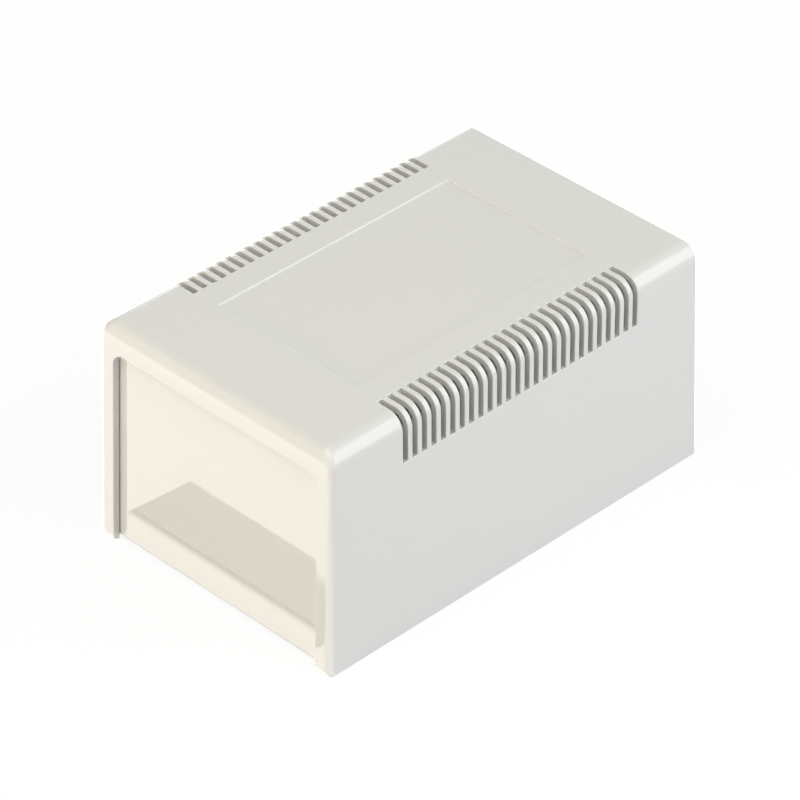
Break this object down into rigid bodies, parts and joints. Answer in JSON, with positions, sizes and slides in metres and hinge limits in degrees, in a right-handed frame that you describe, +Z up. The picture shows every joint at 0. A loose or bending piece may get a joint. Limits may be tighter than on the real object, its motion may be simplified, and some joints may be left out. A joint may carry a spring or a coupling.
{
  "type": "plastic project box",
  "caption": "Ventilated plastic project box: deep one-piece cover with vent slots over its top edges and a label recess, blank end panels, recessed base for a circuit board.",
  "frame": {"origin": "middle of the underside, at the height of the cover's bottom rim, which the box stands on", "axes": "+X to the right seen from the front, +Y from the front panel to the rear panel, +Z up"},
  "size_m": [0.1034, 0.1639, 0.0812],
  "materials": {
    "cover_abs": "satin moulded ABS, pale grey",
    "base_abs": "satin moulded ABS, pale grey",
    "panel_abs": "smooth ABS sheet, pale grey",
    "zinc_steel": "bright zinc plate"
  },
  "bodies": {
    "root": {"cover": "cover_abs", "base": "base_abs", "front_panel": "panel_abs", "rear_panel": "panel_abs", "case_screws": "zinc_steel"}
  },
  "joints": []
}
